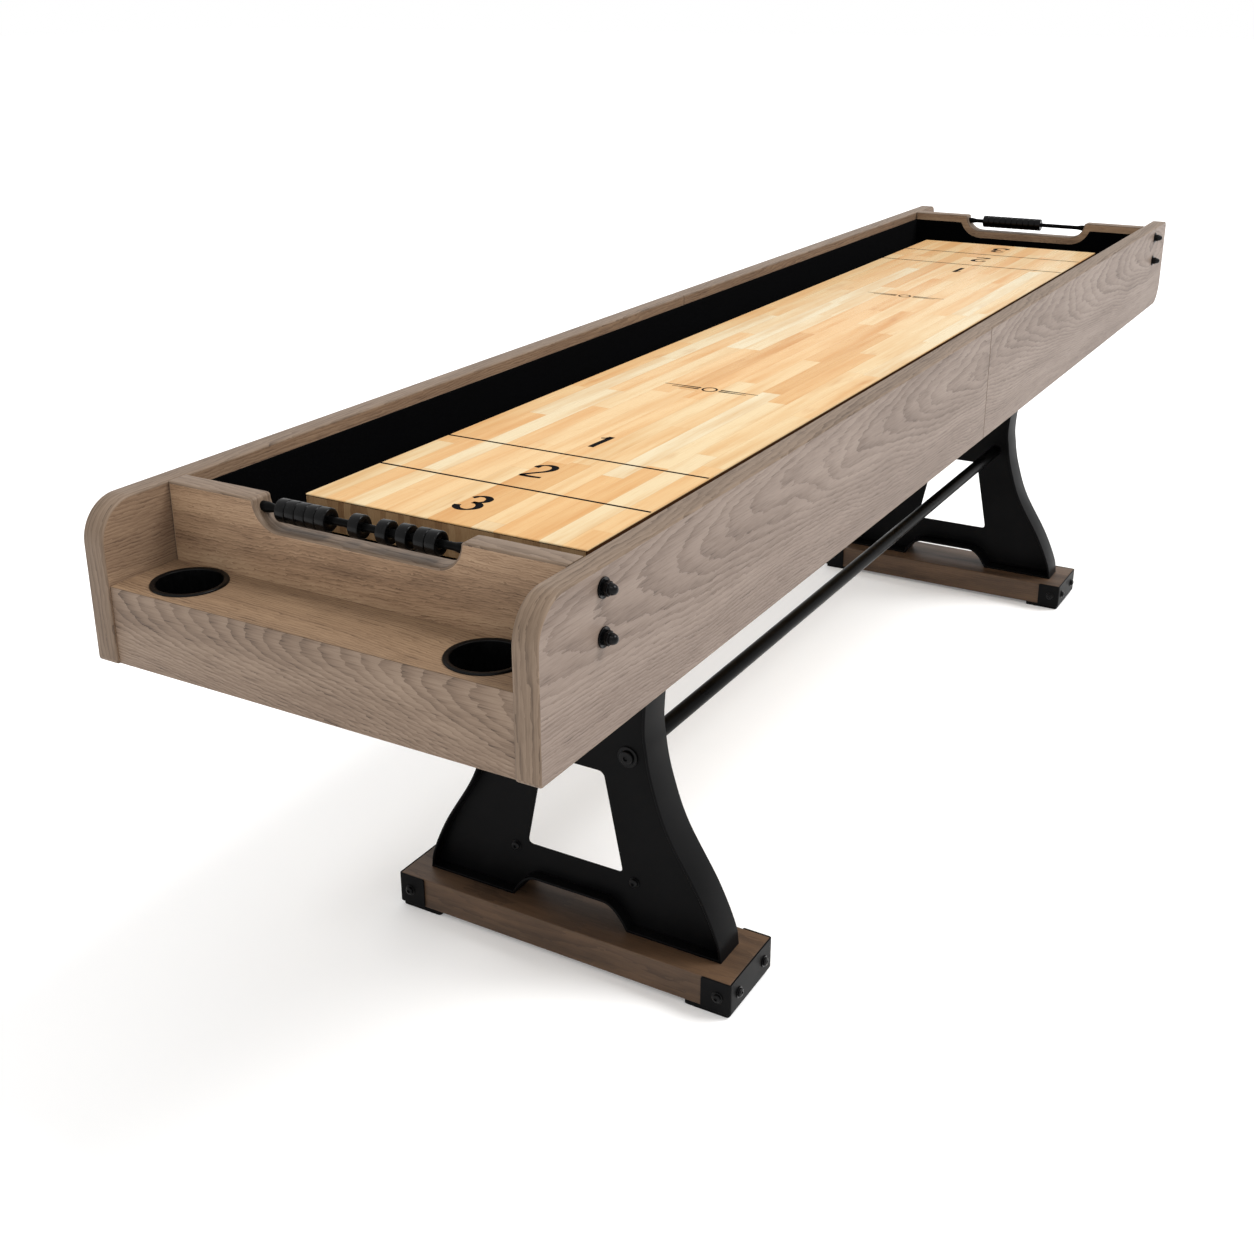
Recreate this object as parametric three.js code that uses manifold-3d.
// Shuffleboard table: a long wooden cabinet with a raised maple playfield in a felt-lined gutter,
// a scoring rod with sliding beads and a cup shelf at each end, on two steel pedestal legs.
// Millimetres, +X across the table, +Y along it, +Z up, origin on the floor under its middle.
// The near end is the one at -Y.
import * as THREE from "three";
import { mergeVertices } from "three/addons/utils/BufferGeometryUtils.js";
import Module from "manifold-3d";

const wasm = await Module();
wasm.setup();

// Overall sizes
const tableLength = 2743;
const tableWidth = 604;
const tableHeight = 787;
const fit = 0.3; // gap between pieces that touch
const roundSides = 32; // sides of the cups and of their holes

// Cabinet
const panelThickness = 30;
const panelHeight = 191;
const panelEase = 2.5; // rounding of the long edges
const bigCornerRadius = 49; // near top corners and far bottom corners
const nearBottomRadius = 5;
const farTopRadius = 14;
const boardThickness = 30;
const boardLift = 1; // bottom edges of boards above those of the side panels
const shelfDrop = 96; // rail top to shelf
const shelfThickness = 18;
const apronRecess = 4;
const apronThickness = 12;
const floorThickness = 15;

// Notch in the score board, with its rod
const notchHalfWidth = 142;
const notchDepth = 34.5;
const notchLipRadius = 6;
const rodDiameter = 9;
const rodBushDiameter = 12.6; // the rod widens where it enters the wood
const rodBushLength = 11.5; // bush beyond the notch's side
const rodTaper = 7.5; // from the bush to the plain rod
const rodDrop = 12.8; // rail top to rod axis
const rodSocket = 15; // how far the rod goes into the wood

// Felt, carpet and playfield
const feltDrop = 17; // bare wood above the felt
const feltThickness = 3;
const carpetThickness = 2.5;
const endGutter = 119.5; // score board to the playfield
const sideGutter = 72; // side panel to the playfield
const playfieldThickness = 44;
const playfieldDrop = 46.4; // rail top to playing surface
const battenHeight = 18;
const battenWidth = 60;
const battenInset = 260; // end of the playfield to the middle of an end batten

// Cup holders
const cupFlangeWidth = 5.4; // flange beyond the cup's wall
const cupEndMargin = 12.5; // end of the table to a cup's flange
const cupBoardGap = 2.5; // a cup's flange to the score board
const cupSideMargin = 24.5; // side panel to a cup's flange
const cupFlangeHeight = 2.5;
const cupInnerRadius = 37.5;
const cupWall = 1.6;
const cupDepth = 62;
const cupHoleGap = 1; // shelf's hole over the cup's wall

// Beads
const beadWidth = 14;
const beadRadius = 13.7;
const beadEase = 1.6;
const beadClearance = 0.5; // bead bore over the rod's radius

// Pedestals
const legSetback = 545; // end of the table to the middle of a leg
const legDepth = 57;
const legRecess = 18; // outer edge of a leg to its web
const legWeb = 4;
const legFlange = 4;
const legTopHalfWidth = 150;
const legBlockWidth = 110;
const legBlockRecess = 6; // legs' top faces above the cabinet's bottom edge
const beamLength = 561;
const beamDepth = 132;
const beamHeight = 48.7;
const beamEase = 1.5;
const capLength = 46;
const capWall = 2.2;
const capBend = 3;
const footLength = 69;
const footDepth = 126;
const footHeight = 6.5;
const footInset = 3.5; // end of the beam to the end of a foot
const stretcherRadius = 12;
const stretcherSpread = 90; // middle of the table to a stretcher's axis
const stretcherHeight = 326;

// Splice plates behind the seams of the side panels
const spliceLength = 240;
const spliceHeight = 44;
const spliceThickness = 4;

// Worked-out places
const halfLength = tableLength / 2;
const halfWidth = tableWidth / 2;
const innerHalfWidth = halfWidth - panelThickness;
const cabinetBottom = tableHeight - panelHeight;
const cupFlangeRadius = cupInnerRadius + cupWall + cupFlangeWidth;
const cupSetback = cupEndMargin + cupFlangeRadius; // end of the table to the middle of a cup
const cupSpread = innerHalfWidth - cupSideMargin - cupFlangeRadius; // middle of the table to that of a cup
const boardSetback = cupSetback + cupFlangeRadius + cupBoardGap; // end of the table to the score board
const boardInnerFace = boardSetback + boardThickness;
const wellHalfLength = halfLength - boardInnerFace;
const playfieldLength = 2 * (wellHalfLength - endGutter);
const playfieldWidth = 2 * (innerHalfWidth - sideGutter);
const playfieldTop = tableHeight - playfieldDrop;
const battenTop = playfieldTop - playfieldThickness - fit;
const carpetTop = battenTop - battenHeight - fit;
const floorTop = carpetTop - carpetThickness - fit;
const floorBottom = floorTop - floorThickness;
const shelfTop = tableHeight - shelfDrop;
const rodHeight = tableHeight - rodDrop;
const rodMiddle = boardSetback + boardThickness / 2;
const notchFloor = tableHeight - notchDepth;
const beamTop = footHeight + fit + beamHeight;
const legBottom = beamTop + fit;
const legTop = cabinetBottom + legBlockRecess;
const legHeight = legTop - legBottom;

// Materials
const finish = (color, roughness, metalness = 0) => () =>
  new THREE.MeshStandardMaterial({ color, roughness, metalness });
const greyOak = finish(0x9c8a7a, 0.55);
const brownOak = finish(0x7d6550, 0.55);
const maple = finish(0xe6c08a, 0.22);
const softwood = finish(0xb79b74, 0.7);
const walnut = finish(0x4c3a2e, 0.6);
const felt = finish(0x0c0c0d, 0.95);
const blackSteel = finish(0x17181a, 0.45, 0.5);
const blackPlastic = finish(0x121314, 0.35);
const blackRubber = finish(0x0e0e0e, 0.85);

// Solids, joins and cuts
function toSolid(geometry) {
  const bare = geometry.clone();
  bare.deleteAttribute("normal");
  bare.deleteAttribute("uv");
  const merged = mergeVertices(bare, 1e-4);
  return new wasm.Manifold(
    new wasm.Mesh({
      numProp: 3,
      vertProperties: new Float32Array(merged.attributes.position.array),
      triVerts: new Uint32Array(merged.index.array),
    }),
  );
}

function toGeometry(solid) {
  const mesh = solid.getMesh();
  const geometry = new THREE.BufferGeometry();
  geometry.setAttribute("position", new THREE.BufferAttribute(mesh.vertProperties, 3));
  geometry.setIndex(new THREE.BufferAttribute(mesh.triVerts, 1));
  geometry.computeVertexNormals();
  return geometry;
}

function cut(geometry, ...tools) {
  let solid = toSolid(geometry);
  for (const tool of tools) solid = solid.subtract(toSolid(tool));
  return toGeometry(solid);
}

function join(...geometries) {
  const [first, ...others] = geometries.map(toSolid);
  return toGeometry(others.reduce((whole, part) => whole.add(part), first));
}

function named(name, geometry, material) {
  const mesh = new THREE.Mesh(geometry, material());
  mesh.name = name;
  return mesh;
}

// An outline carried through a thickness, its edges eased by a small bevel.
function extrude(shape, thickness, ease = 0) {
  const geometry = new THREE.ExtrudeGeometry(shape, {
    depth: thickness - 2 * ease,
    bevelEnabled: ease > 0,
    bevelThickness: ease,
    bevelSize: ease,
    bevelOffset: -ease,
    bevelSegments: 2,
  });
  return geometry.translate(0, 0, ease);
}

// The outline's axes become +Y and +Z, and its thickness runs from x0 towards +X.
function alongX(geometry, x0) {
  const axes = new THREE.Matrix4().makeBasis(
    new THREE.Vector3(0, 1, 0),
    new THREE.Vector3(0, 0, 1),
    new THREE.Vector3(1, 0, 0),
  );
  return geometry.applyMatrix4(axes).translate(x0, 0, 0);
}

// The outline's axes become +X and +Z, and its thickness runs from y1 towards -Y.
function alongY(geometry, y1) {
  const axes = new THREE.Matrix4().makeBasis(
    new THREE.Vector3(1, 0, 0),
    new THREE.Vector3(0, 0, 1),
    new THREE.Vector3(0, -1, 0),
  );
  return geometry.applyMatrix4(axes).translate(0, y1, 0);
}

function box(x0, x1, y0, y1, z0, z1) {
  const geometry = new THREE.BoxGeometry(x1 - x0, y1 - y0, z1 - z0);
  return geometry.translate((x0 + x1) / 2, (y0 + y1) / 2, (z0 + z1) / 2);
}

function rodAlongX(radius, x0, x1, y, z, sides = 20) {
  const geometry = new THREE.CylinderGeometry(radius, radius, x1 - x0, sides);
  return geometry.rotateZ(-Math.PI / 2).translate((x0 + x1) / 2, y, z);
}

function rodAlongY(radius, y0, y1, x, z, sides = 24) {
  const geometry = new THREE.CylinderGeometry(radius, radius, y1 - y0, sides);
  return geometry.translate(x, (y0 + y1) / 2, z);
}

// Points along an arc, its angles in degrees.
function arc(x, y, radius, from, to, steps = 6) {
  return Array.from({ length: steps + 1 }, (_, i) => {
    const angle = THREE.MathUtils.degToRad(from + ((to - from) * i) / steps);
    return new THREE.Vector2(x + radius * Math.cos(angle), y + radius * Math.sin(angle));
  });
}

// A closed shape through points or [x, y] pairs, without repeated points.
function outlineOf(...points) {
  const list = points.map((p) => (p.isVector2 ? p : new THREE.Vector2(...p)));
  return new THREE.Shape(list.filter((p, i) => p.distanceTo(list.at(i - 1)) > 1e-3));
}

function rectangle(x0, x1, y0, y1) {
  return outlineOf([x0, y0], [x1, y0], [x1, y1], [x0, y1]);
}

// A polygon with its corners rounded by parabolas that start a given reach before them.
function roundedPolygon(corners, reach, steps = 4) {
  const points = corners.flatMap(([x, y], i) => {
    const here = new THREE.Vector2(x, y);
    const before = new THREE.Vector2(...corners.at(i - 1));
    const after = new THREE.Vector2(...corners[(i + 1) % corners.length]);
    const start = here.clone().addScaledVector(before.sub(here).normalize(), reach);
    const end = here.clone().addScaledVector(after.sub(here).normalize(), reach);
    return new THREE.QuadraticBezierCurve(start, here, end).getPoints(steps);
  });
  return outlineOf(...points);
}

// The same points on the other side of the middle, in reverse order.
function mirrored(points) {
  return points.map((p) => new THREE.Vector2(-p.x, p.y)).reverse();
}

// A closed outline moved inwards by a distance, corner by corner.
function inset(points, distance) {
  return points.map((here, i) => {
    const before = points.at(i - 1);
    const after = points[(i + 1) % points.length];
    const into = here.clone().sub(before).normalize();
    const out = after.clone().sub(here).normalize();
    const normal = new THREE.Vector2(-into.y - out.y, into.x + out.x).normalize();
    const slant = normal.dot(new THREE.Vector2(-into.y, into.x));
    return here.clone().addScaledVector(normal, distance / slant);
  });
}

// Side panels: one of the two outer corners of each has the big radius.
function sidePanel(topRadius, bottomRadius) {
  const length = halfLength - fit / 2;
  const shape = outlineOf(
    ...arc(bottomRadius, bottomRadius, bottomRadius, 180, 270),
    [length, 0],
    [length, panelHeight],
    ...arc(topRadius, panelHeight - topRadius, topRadius, 90, 180, 8),
  );
  return extrude(shape, panelThickness, panelEase);
}

// The notch's outline from right to left: two quarter circles about points on the rail's top
// line and a level floor between them. A margin moves it outwards, below a lower top line.
function notchOutline(margin, top) {
  const radius = notchDepth + margin;
  const middle = notchHalfWidth - notchDepth;
  const drop = tableHeight - top + (margin > 0 ? 0 : notchLipRadius);
  const start = THREE.MathUtils.radToDeg(Math.asin(drop / radius));
  const right = arc(middle, tableHeight, radius, -start, -90);
  if (margin > 0) return [...right, ...mirrored(right)];
  const corner = new THREE.Vector2(middle + radius, top);
  const begin = new THREE.Vector2(corner.x + notchLipRadius, top);
  const lip = new THREE.QuadraticBezierCurve(begin, corner, right[0]).getPoints(3);
  const half = [...lip, ...right];
  return [...half, ...mirrored(half)];
}

function scoreBoard(faceY) {
  const side = innerHalfWidth - fit;
  const bottom = cabinetBottom + boardLift;
  const shape = outlineOf(
    [-side, bottom],
    [side, bottom],
    [side, tableHeight],
    ...notchOutline(0, tableHeight),
    [-side, tableHeight],
  );
  const board = alongY(extrude(shape, boardThickness, panelEase), faceY + boardThickness);
  const reach = notchHalfWidth + rodSocket + fit;
  const radius = rodBushDiameter / 2 + fit;
  const bore = rodAlongX(radius, -reach, reach, faceY + boardThickness / 2, rodHeight);
  return cut(board, bore);
}

function endFelt(faceY) {
  const side = innerHalfWidth - feltThickness - 2 * fit;
  const top = tableHeight - feltDrop;
  const shape = outlineOf(
    [-side, carpetTop + fit],
    [side, carpetTop + fit],
    [side, top],
    ...notchOutline(feltDrop, top),
    [-side, top],
  );
  return alongY(extrude(shape, feltThickness), faceY + fit + feltThickness);
}

function cupHolder() {
  const wallOuter = cupInnerRadius + cupWall;
  const flangeTop = cupFlangeHeight;
  const points = [
    [0, -cupDepth],
    [wallOuter - 5, -cupDepth],
    [wallOuter, -cupDepth + 5],
    [wallOuter, fit],
    [cupFlangeRadius, fit],
    [cupFlangeRadius - 0.8, flangeTop - 0.5],
    [cupFlangeRadius - 2.5, flangeTop],
    [cupInnerRadius + 1.5, flangeTop],
    [cupInnerRadius, flangeTop - 1.5],
    [cupInnerRadius, -cupDepth + 6],
    [cupInnerRadius - 4, -cupDepth + 2],
    [0, -cupDepth + 2],
  ].map(([r, h]) => new THREE.Vector2(r, h));
  return new THREE.LatheGeometry(points, roundSides).rotateX(Math.PI / 2);
}

// The shelf and the apron meet in a mitre at the front edge.
function shelf() {
  const side = innerHalfWidth - fit;
  const back = boardSetback - fit;
  const profile = outlineOf(
    [apronRecess + fit, shelfTop],
    [apronRecess + apronThickness + fit, shelfTop - shelfThickness],
    [back, shelfTop - shelfThickness],
    [back, shelfTop],
  );
  const board = alongX(extrude(profile, 2 * side), -side).translate(0, -halfLength, 0);
  const hole = (x) => {
    const radius = cupInnerRadius + cupWall + cupHoleGap;
    const tool = new THREE.CylinderGeometry(radius, radius, 3 * shelfThickness, roundSides);
    return tool.rotateX(Math.PI / 2).translate(x, -halfLength + cupSetback, shelfTop);
  };
  return cut(board, hole(-cupSpread), hole(cupSpread));
}

function apron() {
  const side = innerHalfWidth - fit;
  const bottom = cabinetBottom + boardLift;
  const profile = outlineOf(
    [apronRecess, bottom],
    [apronRecess + apronThickness, bottom],
    [apronRecess + apronThickness, shelfTop - shelfThickness],
    [apronRecess, shelfTop],
  );
  return alongX(extrude(profile, 2 * side), -side).translate(0, -halfLength, 0);
}

// Pedestal: a web between two curved flanges, with a window and an arch that leaves two feet.
const legFlank = [
  [247, 0],
  [241, 32],
  [214, 92],
  [166, 172],
  [143, 232],
  [130, 289],
  [127, 357],
];
const legWindow = { bottom: 82, top: 236, halfBottom: 81, halfTop: 50, cornerReach: 10 };
const legArch = { height: 36, halfFoot: 96, halfTop: 56 };

function legOutline() {
  const points = [...legFlank, [legTopHalfWidth, legHeight]];
  const flank = new THREE.SplineCurve(points.map(([x, z]) => new THREE.Vector2(x, z)));
  const right = flank.getPoints(28);
  const arch = new THREE.QuadraticBezierCurve(
    new THREE.Vector2(legArch.halfFoot, 0),
    new THREE.Vector2(legArch.halfTop + 20, legArch.height),
    new THREE.Vector2(legArch.halfTop, legArch.height),
  );
  const rightArch = arch.getPoints(6).reverse();
  const half = [...rightArch, ...right];
  return outlineOf(...half, ...mirrored(half)).getPoints();
}

function leg(middleY) {
  const outline = legOutline();
  const pocket = outlineOf(...inset(outline, legFlange));
  const w = legWindow;
  const corners = [
    [-w.halfBottom, w.bottom],
    [w.halfBottom, w.bottom],
    [w.halfTop, w.top],
    [-w.halfTop, w.top],
  ];
  const windowShape = roundedPolygon(corners, w.cornerReach);
  const y0 = middleY - legDepth / 2;
  const y1 = middleY + legDepth / 2;
  const backDepth = legDepth - legRecess - legWeb;
  const whole = alongY(extrude(new THREE.Shape(outline), legDepth), y1);
  const front = alongY(extrude(pocket, legRecess + 1), y0 + legRecess);
  const back = alongY(extrude(pocket, backDepth + 1), y1 + 1);
  const through = alongY(extrude(windowShape, legDepth), y1);
  return cut(whole, front, back, through).translate(0, 0, legBottom);
}

function beamCap(endX) {
  const half = beamDepth / 2;
  const shape = outlineOf(
    [-capLength, -half],
    ...arc(-capBend, -half + capBend, capBend, -90, 0, 3),
    ...arc(-capBend, half - capBend, capBend, 0, 90, 3),
    [-capLength, half],
    [-capLength, half - capWall],
    [-capWall, half - capWall],
    [-capWall, -half + capWall],
    [-capLength, -half + capWall],
  );
  const cap = extrude(shape, beamHeight);
  if (endX < 0) cap.rotateZ(Math.PI);
  return cap.translate(endX, 0, footHeight + fit);
}

// A round rod along X with a thicker bush at each end.
function scoreRod() {
  const reach = notchHalfWidth + rodSocket;
  const bushEnd = notchHalfWidth - rodBushLength;
  const taperEnd = bushEnd - rodTaper;
  const rod = rodAlongX(rodDiameter / 2, -reach, reach, 0, 0);
  const bushes = [-1, 1].map((sign) => {
    const points = [
      [rodDiameter / 4, taperEnd - fit],
      [rodDiameter / 2 - fit, taperEnd - fit],
      [rodBushDiameter / 2, bushEnd],
      [rodBushDiameter / 2, reach],
      [rodDiameter / 4, reach],
      [rodDiameter / 4, taperEnd - fit],
    ].map(([r, h]) => new THREE.Vector2(r, h));
    return new THREE.LatheGeometry(points, 20).rotateZ(sign * -Math.PI / 2);
  });
  return join(rod, ...bushes);
}

function bead() {
  const bore = rodDiameter / 2 + beadClearance;
  const half = beadWidth / 2;
  const points = [
    [bore, -half],
    [beadRadius - beadEase, -half],
    [beadRadius, -half + beadEase],
    [beadRadius, half - beadEase],
    [beadRadius - beadEase, half],
    [bore, half],
    [bore, -half],
  ].map(([r, h]) => new THREE.Vector2(r, h));
  return new THREE.LatheGeometry(points, 16).rotateZ(-Math.PI / 2);
}

// Everything that repeats at the two ends, built at the near end.
function tableEnd({ end, right, left, topRadius, bottomRadius }) {
  const group = new THREE.Group();
  const add = (name, geometry, material) => group.add(named(name, geometry, material));

  const panel = () => sidePanel(topRadius, bottomRadius).translate(-halfLength, cabinetBottom, 0);
  add(`side_panel_${right}_${end}`, alongX(panel(), innerHalfWidth), greyOak);
  add(`side_panel_${left}_${end}`, alongX(panel(), -halfWidth), greyOak);
  const faceY = -halfLength + boardSetback;
  add(`score_board_${end}`, scoreBoard(faceY), brownOak);
  add(`end_felt_${end}`, endFelt(faceY + boardThickness), felt);
  add(`score_rod_${end}`, scoreRod().translate(0, -halfLength + rodMiddle, rodHeight), blackSteel);
  add(`cup_shelf_${end}`, shelf(), brownOak);
  add(`front_apron_${end}`, apron(), greyOak);

  const cupY = -halfLength + cupSetback;
  add(`cup_holder_${right}_${end}`, cupHolder().translate(cupSpread, cupY, shelfTop), blackPlastic);
  add(`cup_holder_${left}_${end}`, cupHolder().translate(-cupSpread, cupY, shelfTop), blackPlastic);

  const side = innerHalfWidth - fit;
  const floorStart = -wellHalfLength + fit;
  add(`cabinet_floor_${end}`, box(-side, side, floorStart, -fit / 2, floorBottom, floorTop), softwood);
  const battenY = -playfieldLength / 2 + battenInset;
  add(`playfield_batten_${end}`, batten(battenY), softwood);

  const legY = -halfLength + legSetback;
  const block = box(
    -side,
    side,
    legY - legBlockWidth / 2,
    legY + legBlockWidth / 2,
    legTop + fit,
    floorBottom - fit,
  );
  add(`leg_block_${end}`, block, softwood);
  add(`leg_${end}`, leg(legY), blackSteel);

  const beamHalf = beamLength / 2 - capWall - fit;
  const beamShape = rectangle(-beamHalf, beamHalf, 0, beamHeight);
  const woodDepth = beamDepth - 2 * (capWall + fit);
  const beam = alongY(extrude(beamShape, woodDepth, beamEase), legY + woodDepth / 2);
  add(`base_beam_${end}`, beam.translate(0, 0, footHeight + fit), walnut);
  for (const [name, sign] of [[right, 1], [left, -1]]) {
    const cap = beamCap((sign * beamLength) / 2).translate(0, legY, 0);
    add(`beam_cap_${name}_${end}`, cap, blackSteel);
    const footMiddle = sign * (beamLength / 2 - footInset - footLength / 2);
    const foot = box(
      footMiddle - footLength / 2,
      footMiddle + footLength / 2,
      legY - footDepth / 2,
      legY + footDepth / 2,
      0,
      footHeight,
    );
    add(`foot_pad_${name}_${end}`, foot, blackRubber);
  }
  return group;
}

function batten(y) {
  const half = playfieldWidth / 2 - 20;
  const bottom = battenTop - battenHeight;
  return box(-half, half, y - battenWidth / 2, y + battenWidth / 2, bottom, battenTop);
}

const table = new THREE.Group();

table.add(
  tableEnd({
    end: "near",
    right: "right",
    left: "left",
    topRadius: bigCornerRadius,
    bottomRadius: nearBottomRadius,
  }),
);

// The far end is the near one turned half round. Its side panels are the near ones turned over,
// so their big radius is at the bottom corner.
const farEnd = tableEnd({
  end: "far",
  right: "left",
  left: "right",
  topRadius: farTopRadius,
  bottomRadius: bigCornerRadius,
});
farEnd.rotation.z = Math.PI;
table.add(farEnd);

// Playfield and the lining of the well
const playfieldHalf = playfieldWidth / 2;
const playfieldShape = rectangle(-playfieldHalf, playfieldHalf, 0, playfieldThickness);
const playfield = alongY(extrude(playfieldShape, playfieldLength, 1.5), playfieldLength / 2);
playfield.translate(0, 0, playfieldTop - playfieldThickness);
table.add(named("playfield", playfield, maple));
table.add(named("playfield_batten_middle", batten(0), softwood));

const wellHalf = wellHalfLength - fit;
const wellSide = innerHalfWidth - fit;
const carpetBottom = floorTop + fit;
const carpet = box(-wellSide, wellSide, -wellHalf, wellHalf, carpetBottom, carpetTop);
table.add(named("gutter_carpet", carpet, felt));

const feltTop = tableHeight - feltDrop;
const feltInner = wellSide - feltThickness;
const sideFelts = { left: [-wellSide, -feltInner], right: [feltInner, wellSide] };
for (const [name, [x0, x1]] of Object.entries(sideFelts)) {
  const lining = box(x0, x1, -wellHalf, wellHalf, carpetTop + fit, feltTop);
  table.add(named(`side_felt_${name}`, lining, felt));
}

// Steel between the halves and between the legs
const spliceTop = floorBottom - fit;
const stretcherHalf = halfLength - legSetback + legDepth / 2 - legRecess - legWeb - fit;
for (const [name, sign] of [["left", -1], ["right", 1]]) {
  const outer = sign * (innerHalfWidth - fit);
  const inner = sign * (innerHalfWidth - fit - spliceThickness);
  const [x0, x1] = [Math.min(outer, inner), Math.max(outer, inner)];
  const half = spliceLength / 2;
  const plate = box(x0, x1, -half, half, spliceTop - spliceHeight, spliceTop);
  table.add(named(`splice_plate_${name}`, plate, blackSteel));
  const x = sign * stretcherSpread;
  const stretcher = rodAlongY(stretcherRadius, -stretcherHalf, stretcherHalf, x, stretcherHeight);
  table.add(named(`stretcher_${name}`, stretcher, blackSteel));
}

// Beads: places along the rod of the first bead of each touching row, from the left.
const beadPitch = beadWidth + fit;
const nearRows = [
  { middle: -78, count: 5 },
  { middle: -3, count: 1 },
  { middle: 34.5, count: 1 },
  { middle: 61.5, count: 1 },
  { middle: 92.4, count: 2 },
];
const nearRodY = -halfLength + rodMiddle;
let number = 0;
for (const { middle, count } of nearRows) {
  for (let i = 0; i < count; i += 1) {
    number += 1;
    const x = middle + (i - (count - 1) / 2) * beadPitch;
    const place = bead().translate(x, nearRodY, rodHeight);
    table.add(named(`score_bead_near_${number}`, place, blackPlastic));
  }
}

// At the far end ten beads stand pushed together, as two rows of five, each row one solid.
const farRows = { left: -69.1, right: 1.2 };
for (const [name, middle] of Object.entries(farRows)) {
  const beads = [-2, -1, 0, 1, 2].map((i) => bead().translate(i * beadWidth, 0, 0));
  const row = join(...beads).translate(middle, -nearRodY, rodHeight);
  table.add(named(`score_beads_far_${name}`, row, blackPlastic));
}

export default table;
